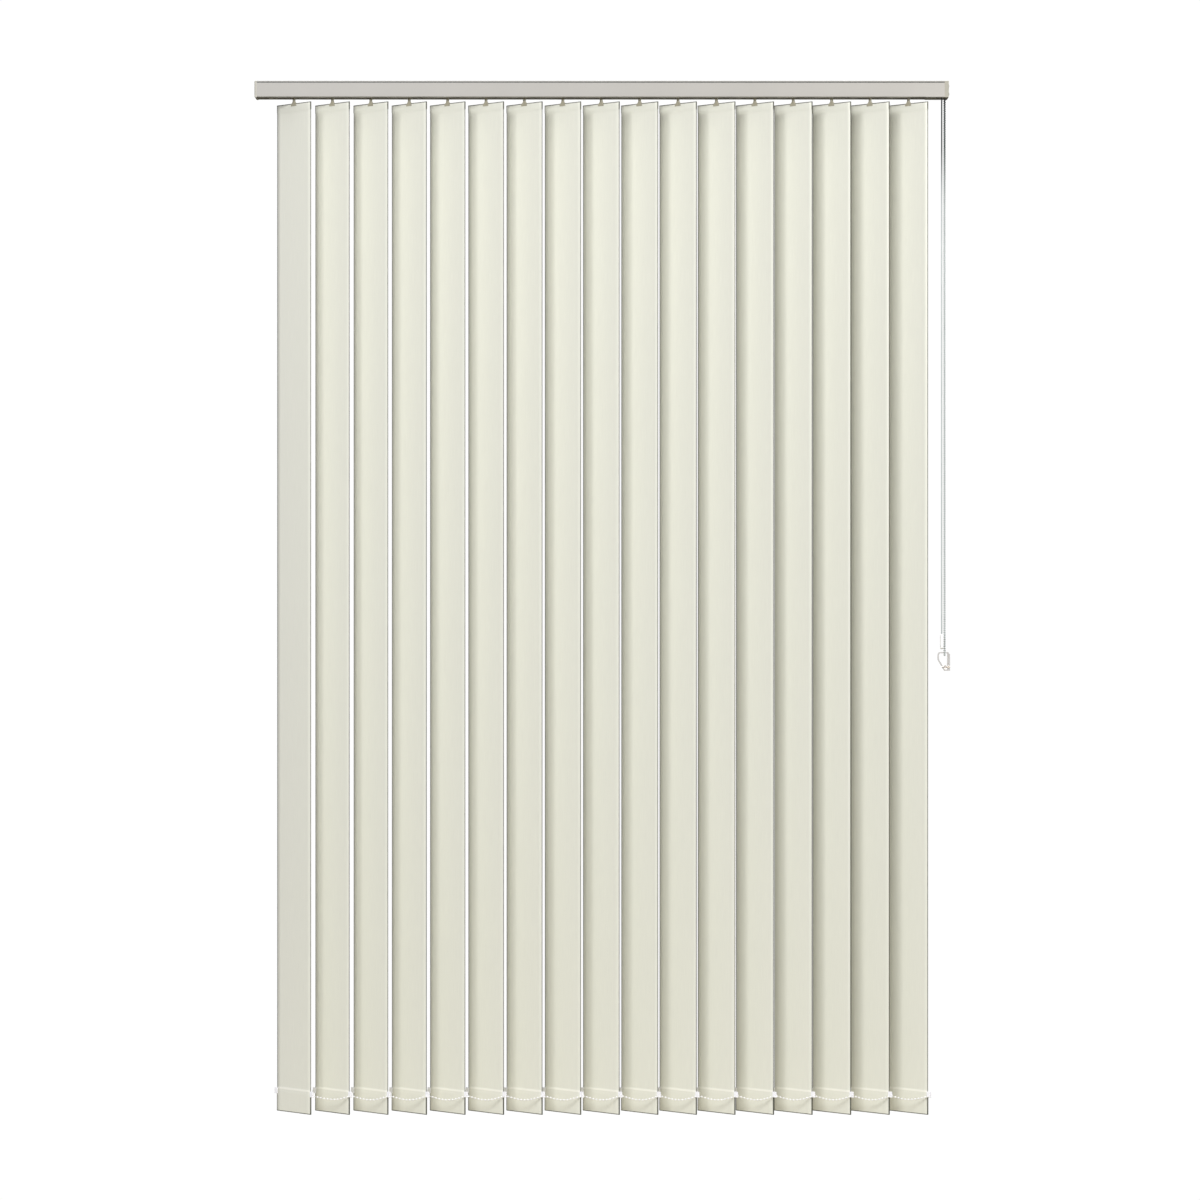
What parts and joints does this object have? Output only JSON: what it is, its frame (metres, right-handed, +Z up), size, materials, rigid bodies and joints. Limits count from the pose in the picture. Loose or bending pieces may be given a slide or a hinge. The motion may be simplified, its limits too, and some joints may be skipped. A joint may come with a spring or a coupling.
{
  "type": "vertical blind",
  "caption": "Vertical blind: ceiling-hung headrail with fabric slats that turn together on a bead chain and draw to one side on a cord",
  "frame": {"origin": "on the ceiling plane, midway between the two bracket screw holes, over the rail's centre line", "axes": "+X along the rail towards the controls, +Y away from the room, +Z up; the slats hang down"},
  "size_m": [1.205, 0.0724, 1.787],
  "materials": {
    "rail": "satin powder coat",
    "cap": "satin moulded plastic",
    "control": "satin moulded plastic",
    "fittings": "moulded plastic",
    "steel": "zinc plated",
    "rod": "extruded",
    "slat_fabric": "fine plain weave",
    "cord": "braided",
    "control_chain": "moulded beads",
    "link_chain": "moulded beads",
    "clear": "clear moulded plastic"
  },
  "bodies": {
    "rail_frame": {"headrail": "rail", "bracket_left": "steel", "bracket_right": "steel", "control_housing": "control", "control_cover": "control", "cover_screws": "steel", "cord_pulley_pin": "steel", "end_cap": "cap", "return_pulley_pin": "steel", "rail_cord": "cord", "pull_cord": "cord", "cord_weight": "cap", "tilt_chain": "control_chain", "chain_tidy": "clear", "carrier_17": "fittings"},
    "lead_carrier": {"carrier_01": "fittings"},
    "carrier_body_02": {"carrier_02": "fittings"},
    "carrier_body_03": {"carrier_03": "fittings"},
    "carrier_body_04": {"carrier_04": "fittings"},
    "carrier_body_05": {"carrier_05": "fittings"},
    "carrier_body_06": {"carrier_06": "fittings"},
    "carrier_body_07": {"carrier_07": "fittings"},
    "carrier_body_08": {"carrier_08": "fittings"},
    "carrier_body_09": {"carrier_09": "fittings"},
    "carrier_body_10": {"carrier_10": "fittings"},
    "carrier_body_11": {"carrier_11": "fittings"},
    "carrier_body_12": {"carrier_12": "fittings"},
    "carrier_body_13": {"carrier_13": "fittings"},
    "carrier_body_14": {"carrier_14": "fittings"},
    "carrier_body_15": {"carrier_15": "fittings"},
    "carrier_body_16": {"carrier_16": "fittings"},
    "rod": {"tilt_rod": "rod", "chain_sprocket": "fittings"},
    "slat_body_01": {"slat_01": "slat_fabric"},
    "slat_body_02": {"slat_02": "slat_fabric"},
    "slat_body_03": {"slat_03": "slat_fabric"},
    "slat_body_04": {"slat_04": "slat_fabric"},
    "slat_body_05": {"slat_05": "slat_fabric"},
    "slat_body_06": {"slat_06": "slat_fabric"},
    "slat_body_07": {"slat_07": "slat_fabric"},
    "slat_body_08": {"slat_08": "slat_fabric"},
    "slat_body_09": {"slat_09": "slat_fabric"},
    "slat_body_10": {"slat_10": "slat_fabric"},
    "slat_body_11": {"slat_11": "slat_fabric"},
    "slat_body_12": {"slat_12": "slat_fabric"},
    "slat_body_13": {"slat_13": "slat_fabric"},
    "slat_body_14": {"slat_14": "slat_fabric"},
    "slat_body_15": {"slat_15": "slat_fabric"},
    "slat_body_16": {"slat_16": "slat_fabric"},
    "slat_body_17": {"slat_17": "slat_fabric"},
    "front_chain": {"bottom_chain_front": "link_chain"},
    "back_chain": {"bottom_chain_back": "link_chain"},
    "front_pulley": {"cord_pulley_front": "fittings"},
    "back_pulley": {"cord_pulley_back": "fittings"},
    "far_pulley": {"return_pulley": "fittings"}
  },
  "joints": [
    {"name": "traverse", "type": "slide", "parent": "rail_frame", "child": "lead_carrier", "axis": [1, 0, 0], "range_m": [0, 0.7936], "deforming": ["bottom_chain_front", "bottom_chain_back"]},
    {"name": "carrier_02_slide", "type": "slide", "parent": "rail_frame", "child": "carrier_body_02", "axis": [1, 0, 0], "range_m": [0, 0.744]},
    {"name": "carrier_03_slide", "type": "slide", "parent": "rail_frame", "child": "carrier_body_03", "axis": [1, 0, 0], "range_m": [0, 0.6944]},
    {"name": "carrier_04_slide", "type": "slide", "parent": "rail_frame", "child": "carrier_body_04", "axis": [1, 0, 0], "range_m": [0, 0.6448]},
    {"name": "carrier_05_slide", "type": "slide", "parent": "rail_frame", "child": "carrier_body_05", "axis": [1, 0, 0], "range_m": [0, 0.5952]},
    {"name": "carrier_06_slide", "type": "slide", "parent": "rail_frame", "child": "carrier_body_06", "axis": [1, 0, 0], "range_m": [0, 0.5456]},
    {"name": "carrier_07_slide", "type": "slide", "parent": "rail_frame", "child": "carrier_body_07", "axis": [1, 0, 0], "range_m": [0, 0.496]},
    {"name": "carrier_08_slide", "type": "slide", "parent": "rail_frame", "child": "carrier_body_08", "axis": [1, 0, 0], "range_m": [0, 0.4464]},
    {"name": "carrier_09_slide", "type": "slide", "parent": "rail_frame", "child": "carrier_body_09", "axis": [1, 0, 0], "range_m": [0, 0.3968]},
    {"name": "carrier_10_slide", "type": "slide", "parent": "rail_frame", "child": "carrier_body_10", "axis": [1, 0, 0], "range_m": [0, 0.3472]},
    {"name": "carrier_11_slide", "type": "slide", "parent": "rail_frame", "child": "carrier_body_11", "axis": [1, 0, 0], "range_m": [0, 0.2976]},
    {"name": "carrier_12_slide", "type": "slide", "parent": "rail_frame", "child": "carrier_body_12", "axis": [1, 0, 0], "range_m": [0, 0.248]},
    {"name": "carrier_13_slide", "type": "slide", "parent": "rail_frame", "child": "carrier_body_13", "axis": [1, 0, 0], "range_m": [0, 0.1984]},
    {"name": "carrier_14_slide", "type": "slide", "parent": "rail_frame", "child": "carrier_body_14", "axis": [1, 0, 0], "range_m": [0, 0.1488]},
    {"name": "carrier_15_slide", "type": "slide", "parent": "rail_frame", "child": "carrier_body_15", "axis": [1, 0, 0], "range_m": [0, 0.0992]},
    {"name": "carrier_16_slide", "type": "slide", "parent": "rail_frame", "child": "carrier_body_16", "axis": [1, 0, 0], "range_m": [0, 0.0496]},
    {"name": "tilt", "type": "hinge", "parent": "rail_frame", "child": "rod", "pos_m": [0, 0.009, -0.014], "axis": [1, 0, 0], "range_deg": [-1500, 420]},
    {"name": "slat_01_turn", "type": "hinge", "parent": "lead_carrier", "child": "slat_body_01", "pos_m": [-0.5328, 0, 0], "axis": [0, 0, 1], "range_deg": [-125, 35]},
    {"name": "slat_02_turn", "type": "hinge", "parent": "carrier_body_02", "child": "slat_body_02", "pos_m": [-0.4662, 0, 0], "axis": [0, 0, 1], "range_deg": [-125, 35]},
    {"name": "slat_03_turn", "type": "hinge", "parent": "carrier_body_03", "child": "slat_body_03", "pos_m": [-0.3996, 0, 0], "axis": [0, 0, 1], "range_deg": [-125, 35]},
    {"name": "slat_04_turn", "type": "hinge", "parent": "carrier_body_04", "child": "slat_body_04", "pos_m": [-0.333, 0, 0], "axis": [0, 0, 1], "range_deg": [-125, 35]},
    {"name": "slat_05_turn", "type": "hinge", "parent": "carrier_body_05", "child": "slat_body_05", "pos_m": [-0.2664, 0, 0], "axis": [0, 0, 1], "range_deg": [-125, 35]},
    {"name": "slat_06_turn", "type": "hinge", "parent": "carrier_body_06", "child": "slat_body_06", "pos_m": [-0.1998, 0, 0], "axis": [0, 0, 1], "range_deg": [-125, 35]},
    {"name": "slat_07_turn", "type": "hinge", "parent": "carrier_body_07", "child": "slat_body_07", "pos_m": [-0.1332, 0, 0], "axis": [0, 0, 1], "range_deg": [-125, 35]},
    {"name": "slat_08_turn", "type": "hinge", "parent": "carrier_body_08", "child": "slat_body_08", "pos_m": [-0.0666, 0, 0], "axis": [0, 0, 1], "range_deg": [-125, 35]},
    {"name": "slat_09_turn", "type": "hinge", "parent": "carrier_body_09", "child": "slat_body_09", "pos_m": [0, 0, 0], "axis": [0, 0, 1], "range_deg": [-125, 35]},
    {"name": "slat_10_turn", "type": "hinge", "parent": "carrier_body_10", "child": "slat_body_10", "pos_m": [0.0666, 0, 0], "axis": [0, 0, 1], "range_deg": [-125, 35]},
    {"name": "slat_11_turn", "type": "hinge", "parent": "carrier_body_11", "child": "slat_body_11", "pos_m": [0.1332, 0, 0], "axis": [0, 0, 1], "range_deg": [-125, 35]},
    {"name": "slat_12_turn", "type": "hinge", "parent": "carrier_body_12", "child": "slat_body_12", "pos_m": [0.1998, 0, 0], "axis": [0, 0, 1], "range_deg": [-125, 35]},
    {"name": "slat_13_turn", "type": "hinge", "parent": "carrier_body_13", "child": "slat_body_13", "pos_m": [0.2664, 0, 0], "axis": [0, 0, 1], "range_deg": [-125, 35]},
    {"name": "slat_14_turn", "type": "hinge", "parent": "carrier_body_14", "child": "slat_body_14", "pos_m": [0.333, 0, 0], "axis": [0, 0, 1], "range_deg": [-125, 35]},
    {"name": "slat_15_turn", "type": "hinge", "parent": "carrier_body_15", "child": "slat_body_15", "pos_m": [0.3996, 0, 0], "axis": [0, 0, 1], "range_deg": [-125, 35]},
    {"name": "slat_16_turn", "type": "hinge", "parent": "carrier_body_16", "child": "slat_body_16", "pos_m": [0.4662, 0, 0], "axis": [0, 0, 1], "range_deg": [-125, 35]},
    {"name": "slat_17_turn", "type": "hinge", "parent": "rail_frame", "child": "slat_body_17", "pos_m": [0.5328, 0, 0], "axis": [0, 0, 1], "range_deg": [-125, 35]},
    {"name": "bottom_chain_front_turn", "type": "hinge", "parent": "slat_body_17", "child": "front_chain", "pos_m": [0.56745, -0.03465, -1.754], "axis": [0, 0, 1], "range_deg": [-35, 125]},
    {"name": "bottom_chain_back_turn", "type": "hinge", "parent": "slat_body_17", "child": "back_chain", "pos_m": [0.49815, 0.03465, -1.754], "axis": [0, 0, 1], "range_deg": [-35, 125]},
    {"name": "cord_pulley_front_turn", "type": "hinge", "parent": "rail_frame", "child": "front_pulley", "pos_m": [0.5856, -0.0145, -0.016], "axis": [0, 1, 0], "range_deg": [0, 11368.48]},
    {"name": "cord_pulley_back_turn", "type": "hinge", "parent": "rail_frame", "child": "back_pulley", "pos_m": [0.5856, -0.0065, -0.016], "axis": [0, 1, 0], "range_deg": [-11368.48, 0]},
    {"name": "return_pulley_turn", "type": "hinge", "parent": "rail_frame", "child": "far_pulley", "pos_m": [-0.583, -0.0105, -0.012], "axis": [0, 0, 1], "range_deg": [0, 11368.48]}
  ],
  "couplings": [
    {"joint": "carrier_02_slide", "follows": "traverse", "ratio": 0.9375},
    {"joint": "carrier_03_slide", "follows": "traverse", "ratio": 0.875},
    {"joint": "carrier_04_slide", "follows": "traverse", "ratio": 0.8125},
    {"joint": "carrier_05_slide", "follows": "traverse", "ratio": 0.75},
    {"joint": "carrier_06_slide", "follows": "traverse", "ratio": 0.6875},
    {"joint": "carrier_07_slide", "follows": "traverse", "ratio": 0.625},
    {"joint": "carrier_08_slide", "follows": "traverse", "ratio": 0.5625},
    {"joint": "carrier_09_slide", "follows": "traverse", "ratio": 0.5},
    {"joint": "carrier_10_slide", "follows": "traverse", "ratio": 0.4375},
    {"joint": "carrier_11_slide", "follows": "traverse", "ratio": 0.375},
    {"joint": "carrier_12_slide", "follows": "traverse", "ratio": 0.3125},
    {"joint": "carrier_13_slide", "follows": "traverse", "ratio": 0.25},
    {"joint": "carrier_14_slide", "follows": "traverse", "ratio": 0.1875},
    {"joint": "carrier_15_slide", "follows": "traverse", "ratio": 0.125},
    {"joint": "carrier_16_slide", "follows": "traverse", "ratio": 0.0625},
    {"joint": "slat_01_turn", "follows": "tilt", "ratio": 0.083333},
    {"joint": "slat_02_turn", "follows": "tilt", "ratio": 0.083333},
    {"joint": "slat_03_turn", "follows": "tilt", "ratio": 0.083333},
    {"joint": "slat_04_turn", "follows": "tilt", "ratio": 0.083333},
    {"joint": "slat_05_turn", "follows": "tilt", "ratio": 0.083333},
    {"joint": "slat_06_turn", "follows": "tilt", "ratio": 0.083333},
    {"joint": "slat_07_turn", "follows": "tilt", "ratio": 0.083333},
    {"joint": "slat_08_turn", "follows": "tilt", "ratio": 0.083333},
    {"joint": "slat_09_turn", "follows": "tilt", "ratio": 0.083333},
    {"joint": "slat_10_turn", "follows": "tilt", "ratio": 0.083333},
    {"joint": "slat_11_turn", "follows": "tilt", "ratio": 0.083333},
    {"joint": "slat_12_turn", "follows": "tilt", "ratio": 0.083333},
    {"joint": "slat_13_turn", "follows": "tilt", "ratio": 0.083333},
    {"joint": "slat_14_turn", "follows": "tilt", "ratio": 0.083333},
    {"joint": "slat_15_turn", "follows": "tilt", "ratio": 0.083333},
    {"joint": "slat_16_turn", "follows": "tilt", "ratio": 0.083333},
    {"joint": "slat_17_turn", "follows": "tilt", "ratio": 0.083333},
    {"joint": "bottom_chain_front_turn", "follows": "tilt", "ratio": -0.083333},
    {"joint": "bottom_chain_back_turn", "follows": "tilt", "ratio": -0.083333},
    {"joint": "cord_pulley_front_turn", "follows": "traverse", "rad_per_m": 250},
    {"joint": "cord_pulley_back_turn", "follows": "traverse", "rad_per_m": -250},
    {"joint": "return_pulley_turn", "follows": "traverse", "rad_per_m": 250}
  ]
}
